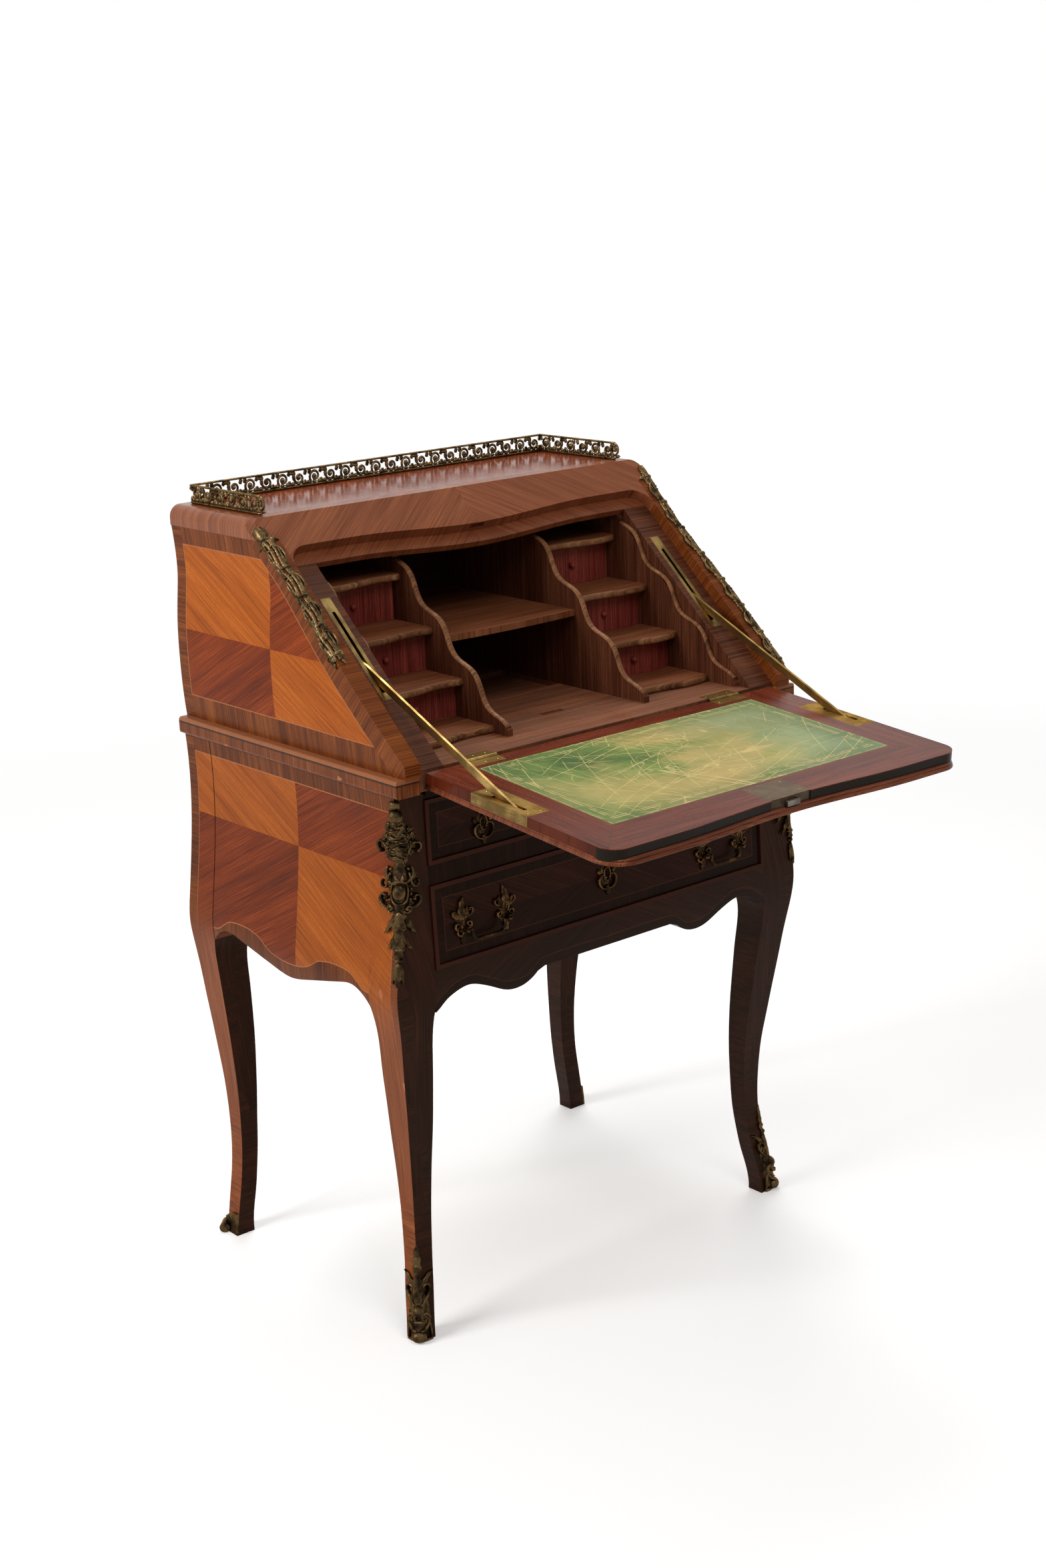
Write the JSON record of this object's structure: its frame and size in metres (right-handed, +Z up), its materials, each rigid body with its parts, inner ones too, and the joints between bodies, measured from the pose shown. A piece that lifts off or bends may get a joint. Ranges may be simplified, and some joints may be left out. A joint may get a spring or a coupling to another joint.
{
  "type": "fall-front desk",
  "caption": "Slant-front writing desk on cabriole legs: hinged leather-lined fall on coupled brass stays, drawers outside and inside, sliding well cover, gallery top.",
  "frame": {"origin": "middle of the bounding box seen from above, on the floor under the feet, with the fall open", "axes": "+X to the desk's right seen by a sitter in front of it, +Y from the fall to the back, +Z up"},
  "size_m": [0.66, 0.7808, 1],
  "materials": {
    "veneer": "french polished",
    "leg_wood": "french polished",
    "lip_wood": "polished",
    "interior_wood": "satin polished",
    "plain_wood": "plain",
    "brass": "worn bright",
    "gilt_bronze": "antique gilt",
    "steel": "dull",
    "leather": "scratched, gilt border"
  },
  "bodies": {
    "case": {"leg_front_right": "leg_wood", "leg_front_left": "leg_wood", "leg_back_right": "leg_wood", "leg_back_left": "leg_wood", "lower_side_right": "veneer", "lower_side_left": "veneer", "upper_side_right": "veneer", "upper_side_left": "veneer", "top_board": "veneer", "ledge_mouldings": "veneer", "slope_rail": "veneer", "front_apron": "veneer", "front_middle_rail": "veneer", "front_top_rail": "veneer", "front_dividers": "veneer", "false_front": "veneer", "lower_back_panel": "plain_wood", "upper_back_panel": "plain_wood", "dust_board": "plain_wood", "drawer_runners": "plain_wood", "well_box": "plain_wood", "writing_floor": "interior_wood", "pocket_linings": "interior_wood", "stay_rails": "interior_wood", "inner_partitions": "interior_wood", "outer_partitions": "interior_wood", "centre_shelf": "interior_wood", "step_boards": "interior_wood", "hinge_floor_leaves": "brass", "slot_plates": "brass", "gallery": "brass", "corner_mounts": "gilt_bronze", "front_sabots": "gilt_bronze", "back_sabots": "gilt_bronze", "slope_mounts": "gilt_bronze"},
    "fall": {"fall_panel": "veneer", "fall_lip": "lip_wood", "leather_panel": "leather", "stay_plates": "brass", "lock_plate": "gilt_bronze", "hinge_fall_leaves": "brass"},
    "stay_left": {"stay_left": "brass"},
    "stay_right": {"stay_right": "brass"},
    "lock_bolt": {"lock_bolt": "steel"},
    "well_cover": {"well_cover": "interior_wood"},
    "short_drawer_left": {"short_drawer_left_front": "veneer", "short_drawer_left_box": "plain_wood"},
    "short_drawer_right": {"short_drawer_right_front": "veneer", "short_drawer_right_box": "plain_wood"},
    "long_drawer": {"long_drawer_front": "veneer", "long_drawer_box": "plain_wood", "long_drawer_mounts": "gilt_bronze"},
    "bail_left": {"bail_left": "gilt_bronze"},
    "bail_right": {"bail_right": "gilt_bronze"},
    "small_drawer_left_top": {"small_drawer_left_top": "interior_wood"},
    "small_drawer_left_middle": {"small_drawer_left_middle": "interior_wood"},
    "small_drawer_left_bottom": {"small_drawer_left_bottom": "interior_wood"},
    "small_drawer_right_top": {"small_drawer_right_top": "interior_wood"},
    "small_drawer_right_middle": {"small_drawer_right_middle": "interior_wood"},
    "small_drawer_right_bottom": {"small_drawer_right_bottom": "interior_wood"}
  },
  "joints": [
    {"name": "fall_hinge", "type": "hinge", "parent": "case", "child": "fall", "pos_m": [0, -0.07172, 0.7135], "axis": [1, 0, 0], "range_deg": [-143.1, 0]},
    {"name": "stay_left_pivot", "type": "hinge", "parent": "fall", "child": "stay_left", "pos_m": [-0.262, -0.2205, 0.69295], "axis": [1, 0, 0], "range_deg": [0, 101.2]},
    {"name": "stay_right_pivot", "type": "hinge", "parent": "fall", "child": "stay_right", "pos_m": [0.262, -0.2205, 0.69295], "axis": [1, 0, 0], "range_deg": [0, 101.2]},
    {"name": "lock_bolt_slide", "type": "slide", "parent": "fall", "child": "lock_bolt", "axis": [0, -0.9962, -0.0872], "range_m": [-0.006, 0.012]},
    {"name": "well_cover_slide", "type": "slide", "parent": "case", "child": "well_cover", "axis": [0, 1, 0], "range_m": [0, 0.11]},
    {"name": "short_drawer_left_slide", "type": "slide", "parent": "case", "child": "short_drawer_left", "axis": [0, -1, 0], "range_m": [0, 0.2]},
    {"name": "short_drawer_right_slide", "type": "slide", "parent": "case", "child": "short_drawer_right", "axis": [0, -1, 0], "range_m": [0, 0.2]},
    {"name": "long_drawer_slide", "type": "slide", "parent": "case", "child": "long_drawer", "axis": [0, -1, 0], "range_m": [0, 0.27]},
    {"name": "bail_left_swing", "type": "hinge", "parent": "long_drawer", "child": "bail_left", "pos_m": [-0.193, -0.07323, 0.513], "axis": [1, 0, 0], "range_deg": [-80, 0]},
    {"name": "bail_right_swing", "type": "hinge", "parent": "long_drawer", "child": "bail_right", "pos_m": [0.193, -0.07323, 0.513], "axis": [1, 0, 0], "range_deg": [-80, 0]},
    {"name": "small_drawer_left_top_slide", "type": "slide", "parent": "case", "child": "small_drawer_left_top", "axis": [0, -1, 0], "range_m": [0, 0.1]},
    {"name": "small_drawer_left_middle_slide", "type": "slide", "parent": "case", "child": "small_drawer_left_middle", "axis": [0, -1, 0], "range_m": [0, 0.14]},
    {"name": "small_drawer_left_bottom_slide", "type": "slide", "parent": "case", "child": "small_drawer_left_bottom", "axis": [0, -1, 0], "range_m": [0, 0.17]},
    {"name": "small_drawer_right_top_slide", "type": "slide", "parent": "case", "child": "small_drawer_right_top", "axis": [0, -1, 0], "range_m": [0, 0.1]},
    {"name": "small_drawer_right_middle_slide", "type": "slide", "parent": "case", "child": "small_drawer_right_middle", "axis": [0, -1, 0], "range_m": [0, 0.14]},
    {"name": "small_drawer_right_bottom_slide", "type": "slide", "parent": "case", "child": "small_drawer_right_bottom", "axis": [0, -1, 0], "range_m": [0, 0.17]}
  ],
  "couplings": [
    {"joint": "stay_left_pivot", "follows": "fall_hinge", "ratio": -0.707},
    {"joint": "stay_right_pivot", "follows": "fall_hinge", "ratio": -0.707}
  ]
}
